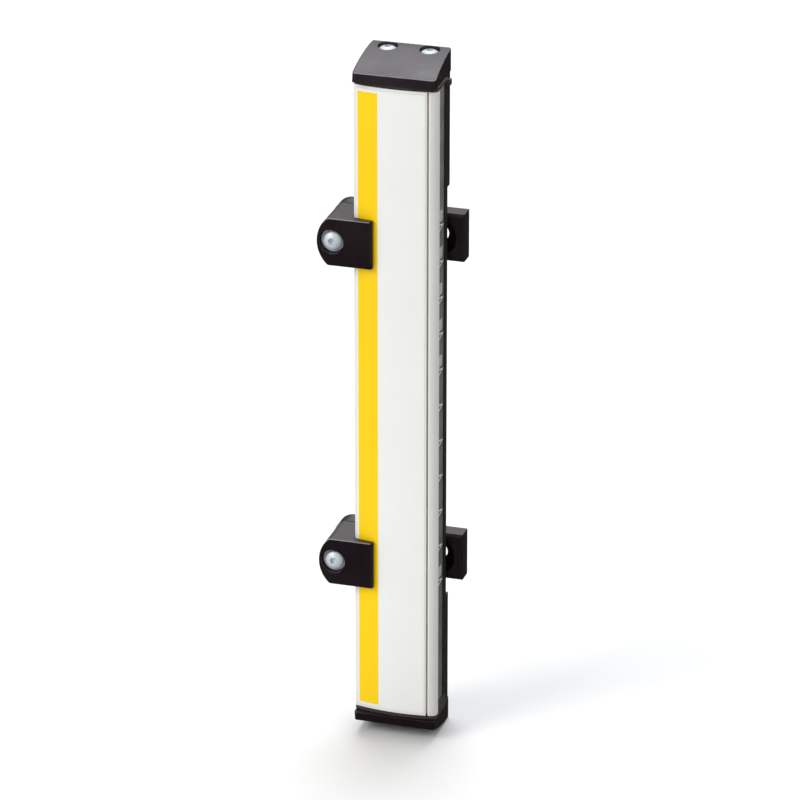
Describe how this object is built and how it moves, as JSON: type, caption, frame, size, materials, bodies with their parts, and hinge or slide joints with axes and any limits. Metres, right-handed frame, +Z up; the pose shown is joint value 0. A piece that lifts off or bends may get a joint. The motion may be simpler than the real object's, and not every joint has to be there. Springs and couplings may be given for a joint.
{
  "type": "safety light curtain",
  "caption": "Slim safety light curtain stick with a side window, end brackets and side clamp brackets behind and beside it.",
  "frame": {"origin": "on the mounting plane, in the middle of the stick's width, at the height of the stick's lower end", "axes": "+Z up the stick, +Y into the wall or machine frame, +X towards the window side where the beams leave"},
  "size_m": [0.051, 0.0243, 0.2692],
  "materials": {
    "housing_coat": "off-white powder coat, satin",
    "rim_coat": "light grey, satin",
    "window_acrylic": "dark tinted acrylic, polished",
    "black_profile": "black, satin",
    "label_film": "printed polyester film, white with a yellow band",
    "cap_plastic": "dark brown-grey moulding",
    "rubber_black": "matt",
    "bracket_nylon": "black glass-filled nylon, fine grain",
    "zinc": "bright zinc plating",
    "board_green": "solder mask",
    "chip_black": "moulded package",
    "can_aluminium": "satin",
    "optic_black": "matt black",
    "clear_acrylic": "clear moulding",
    "emitter_epoxy": "dark violet epoxy",
    "led_white": "chip package",
    "clip_nylon": "natural nylon",
    "contact_gold": "gold plated"
  },
  "bodies": {
    "root": {"housing_profile": "housing_coat", "window_frame": "rim_coat", "window": "window_acrylic", "window_retainer": "black_profile", "window_seal": "rubber_black", "face_label_film": "label_film", "top_end_cap": "cap_plastic", "bottom_end_cap": "cap_plastic", "top_cap_gasket": "rubber_black", "bottom_cap_gasket": "rubber_black", "main_circuit_board": "board_green", "emitter_board": "board_green", "control_chips": "chip_black", "capacitors": "can_aluminium", "board_link_header": "chip_black", "board_clips": "clip_nylon", "optics_carrier": "optic_black", "lens_strip": "clear_acrylic", "infrared_emitters": "emitter_epoxy", "status_leds": "led_white", "status_light_guides": "clear_acrylic", "connector_socket": "chip_black", "connector_contacts": "contact_gold", "upper_bracket_plate": "bracket_nylon", "upper_bracket_head": "bracket_nylon", "lower_bracket_plate": "bracket_nylon", "lower_bracket_foot": "bracket_nylon", "side_bracket_upper_plate": "bracket_nylon", "side_bracket_upper_jaw": "bracket_nylon", "side_bracket_lower_plate": "bracket_nylon", "side_bracket_lower_jaw": "bracket_nylon", "bracket_end_screws": "zinc", "jaw_clamp_screws": "zinc", "jaw_clamp_washers": "zinc", "square_nuts": "zinc"}
  },
  "joints": []
}
